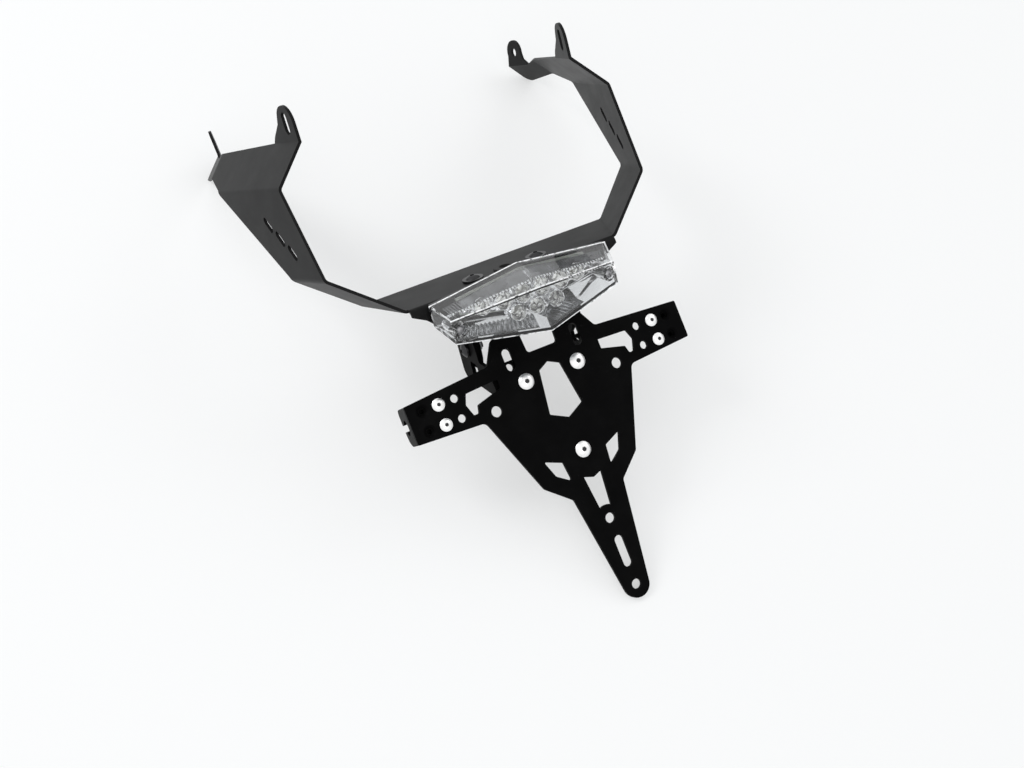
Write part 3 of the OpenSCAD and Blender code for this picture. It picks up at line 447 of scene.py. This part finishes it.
def ribbed_wall(name, rear, front, count, inward, height, material):
    """The fine ribs inside one wall of the lens, between its rear and front edge, as on the motorbike."""
    steps = 2 * count
    spans = [[on_bike(point) for point in edge] for edge in (rear, front)]
    rails = [wall_rail(*span, steps) for span in spans]
    bpy.ops.object.select_all(action="DESELECT")
    for rail in rails:
        rail.select_set(True)
    bpy.context.view_layer.objects.active = rails[0]
    bpy.ops.object.join()
    wall = bpy.context.view_layer.objects.active
    edit(
        (bpy.ops.mesh.select_all, {"action": "SELECT"}),
        (bpy.ops.mesh.bridge_edge_loops, {}),
        (bpy.ops.mesh.select_all, {"action": "DESELECT"}),
    )
    modify(wall, "SOLIDIFY", thickness=0.0003, offset=0.0)
    rise = (laid.to_3x3() @ Vector(inward)).normalized()
    for vertex in wall.data.vertices:
        gap, height_over, share = nearest_foot(vertex.co, spans, rise)
        vertex.select = height_over > 0 and round(share * steps) % 2 == 1
    edit((bpy.ops.transform.translate, {"value": rise * height}))
    bpy.ops.object.shade_flat()
    finish_piece(wall, name, material, "hoop")


# The lower ribs reach over the whole left half of the lens and over half of the right one
for side, way, reach in (("right", 1, 0.5), ("left", -1, 1.0)):
    ribbed_wall(
        "lens_top_ribs_" + side,
        ((1 * way, 68, 207.2), (55 * way, 68, 200.3)),
        ((1 * way, 52.6, 202.6), (52.5 * way, 60.9, 196.5)),
        30, (0, 0.3, -1), 0.0007, rib_plastic,
    )
    ribbed_wall(
        "lens_low_ribs_" + side,
        ((1 * way, 64, 179.0), ((1 + 44 * reach) * way, 64, 179 + 7 * reach)),
        ((6 * way, 44.8, 176.6), ((6 + 44 * reach) * way, 44.8 + 11.4 * reach, 176.6 + 6.3 * reach)),
        round(16 * reach), (0, -0.2, 1), 0.0013, low_rib_plastic,
    )

# Radii of a collar at its back and its front, and where its back stands, in mm
collar_narrow = 4.85
collar_wide = 5.5
collar_back = 65.2


def collar(name, x, z, front):
    """A faceted bright collar round one LED, open towards the front of the light."""
    bpy.ops.object.select_all(action="DESELECT")
    facing = laid.to_3x3() @ Matrix.Rotation(radians(90), 3, "X")
    bpy.ops.mesh.primitive_cone_add(
        vertices=10, end_fill_type="NOTHING",
        radius1=collar_narrow / 1000, radius2=collar_wide / 1000, depth=(collar_back - front) / 1000,
        location=on_bike((x, (collar_back + front) / 2, z)), rotation=facing.to_euler(),
    )
    cup = settle(bpy.context.view_layer.objects.active)
    modify(cup, "SOLIDIFY", thickness=0.0004, offset=-1.0)
    modify(cup, "BEVEL", width=0.00012, limit_method="ANGLE", angle_limit=radians(50))
    finish_piece(cup, name, mirror, "hoop")


# The outer collars of the upper row are shorter, because the lens slants back there
upper_leds = (-32.5, -19.5, -6.5, 6.5, 19.5, 32.5)
lower_leds = (-13, 0, 13)
for number, x in enumerate(upper_leds):
    collar("upper_collar_" + str(number), x, 195.8, 60.5 if abs(x) > 30 else 57.0)
for number, x in enumerate(lower_leds):
    collar("lower_collar_" + str(number), x, 186.6, 55.0)

# The holder's plane, from the hole in its tip, whose height on the holder is in mm
tail_hole = Vector((0, -0.166891, 0.022925))
tail_hole_up = 53.4
half_plate = 1.5
# Shares of a head's diameter: where its socket starts, where the dark plug of painted shade in it ends, and the
# plug's radius
socket_start = 0.0525
socket_end = 0.15
socket_r = 0.158
plate_up = Vector((0, 0.914932, 0.403608))
plate_front = Vector((0, -0.403608, 0.914932))


def painted_socket_shade(name, x, up_plate, head, flange):
    """A dark hex plug in the socket of one screw head: painted shade deep in the socket."""
    bpy.ops.object.select_all(action="DESELECT")
    low = flange + head * socket_start
    high = flange + head * socket_end
    spot = tail_hole + plate_up * ((up_plate - tail_hole_up) / 1000)
    spot += plate_front * ((low + high) / 2000 + half_plate / 1000)
    bpy.ops.mesh.primitive_cylinder_add(
        vertices=6, radius=head * socket_r / 1000, depth=(high - low) / 1000,
        location=spot + Vector((x / 1000, 0, 0)), rotation=plate_front.to_track_quat("Z", "Y").to_euler(),
    )
    shade_plug = settle(bpy.context.view_layer.objects.active)
    finish_piece(shade_plug, name, dark_steel, "holder")


# Across and up on the holder, then the head's diameter and flange, in mm
socket_places = [(18.3, 152.6, 10.2, 0.6), (-18.3, 152.6, 10.2, 0.6), (0.0, 99.8, 10.2, 0.6)]
socket_places += [(side * 75.9, row, 8.1, 0.5) for side in (1, -1) for row in (146.2, 159.3)]
# Painted shade: a dark plug in each screw socket
for number, place in enumerate(socket_places):
    painted_socket_shade("painted_socket_shade_" + str(number), *place)

# Floor, lights and camera
bpy.ops.object.select_all(action="DESELECT")
bpy.ops.mesh.primitive_plane_add(size=8.0, location=(0, 1.0, 0))
floor = bpy.context.view_layer.objects.active
floor.name = "studio_floor"
pale = Finish("studio_white", Roughness=0.9, Specular_IOR_Level=0.1)
pale.feed(Base_Color=pale.blend(pale.noise(2.0) * 0.5, (0.93, 0.935, 0.94, 1), (0.91, 0.915, 0.92, 1)))
glow = pale.node("ShaderNodeEmission", None, {"Color": (0.985, 0.99, 0.985, 1), "Strength": 1.0})
rays_that_see_white = ("Is Camera Ray", "Is Glossy Ray", "Is Transmission Ray")
seen_by = [pale.node("ShaderNodeLightPath", output=kind) for kind in rays_that_see_white]
pale.mixed((seen_by[0] + seen_by[1] + seen_by[2]).held() * 0.5, glow)
floor.data.materials.append(pale.material)


lamp_aim = Vector((0, 0, 0.05))


def soft_lamp(name, place, size, power):
    """A round lamp that is aimed at the part."""
    bpy.ops.object.light_add(type="AREA", location=place)
    lamp = bpy.context.view_layer.objects.active
    lamp.name = name
    lamp.data.shape = "DISK"
    lamp.data.size = size
    lamp.data.energy = power
    lamp.rotation_euler = (lamp_aim - Vector(place)).to_track_quat("-Z", "Y").to_euler()


soft_lamp("lamp_back_left", (-1.3, 1.1, 1.5), 1.0, 14.0)
soft_lamp("lamp_right", (1.5, 0.5, 1.3), 1.0, 3.5)
soft_lamp("lamp_front", (-0.4, -1.5, 1.6), 1.4, 7.0)

# The air lights the part softly, and looks white where it is seen
world = bpy.data.worlds.new("studio_air")
bpy.context.scene.world = world
world.use_nodes = True
air = world.node_tree.nodes
air.clear()
air_out = air.new("ShaderNodeOutputWorld")
light = air.new("ShaderNodeBackground")
light.inputs["Color"].default_value = (0.97, 0.985, 1.0, 1)
light.inputs["Strength"].default_value = 0.72
backdrop = air.new("ShaderNodeBackground")
backdrop.inputs["Color"].default_value = (1, 1, 1, 1)
backdrop.inputs["Strength"].default_value = 1.0
ray = air.new("ShaderNodeLightPath")
glossy_too = air.new("ShaderNodeMath")
clear_too = air.new("ShaderNodeMath")
clear_too.use_clamp = True
choice = air.new("ShaderNodeMixShader")
camera_ray, glossy_ray, clear_ray = [ray.outputs[kind] for kind in rays_that_see_white]
for start, end in (
    (camera_ray, glossy_too.inputs[0]),
    (glossy_ray, glossy_too.inputs[1]),
    (glossy_too.outputs[0], clear_too.inputs[0]),
    (clear_ray, clear_too.inputs[1]),
    (clear_too.outputs[0], choice.inputs[0]),
    (light.outputs[0], choice.inputs[1]),
    (backdrop.outputs[0], choice.inputs[2]),
    (choice.outputs[0], air_out.inputs[0]),
):
    world.node_tree.links.new(start, end)

# The photo's camera, fitted to the holder
camera_data = bpy.data.cameras.new("photo_camera")
camera = bpy.data.objects.new("photo_camera", camera_data)
bpy.context.scene.collection.objects.link(camera)
camera_data.sensor_width = 36.0
camera_data.lens = 39.03
camera_data.clip_start = 0.01
camera_data.clip_end = 50.0
turn = Matrix(((0.88738, 0.3567, -0.29209), (-0.45, 0.80788, -0.38055), (0.10024, 0.46914, 0.87742)))
camera.matrix_world = Matrix.Translation((-0.2286, -0.337152, 0.669304)) @ turn.to_4x4()
bpy.context.scene.camera = camera
bpy.context.scene.view_settings.view_transform = "Standard"
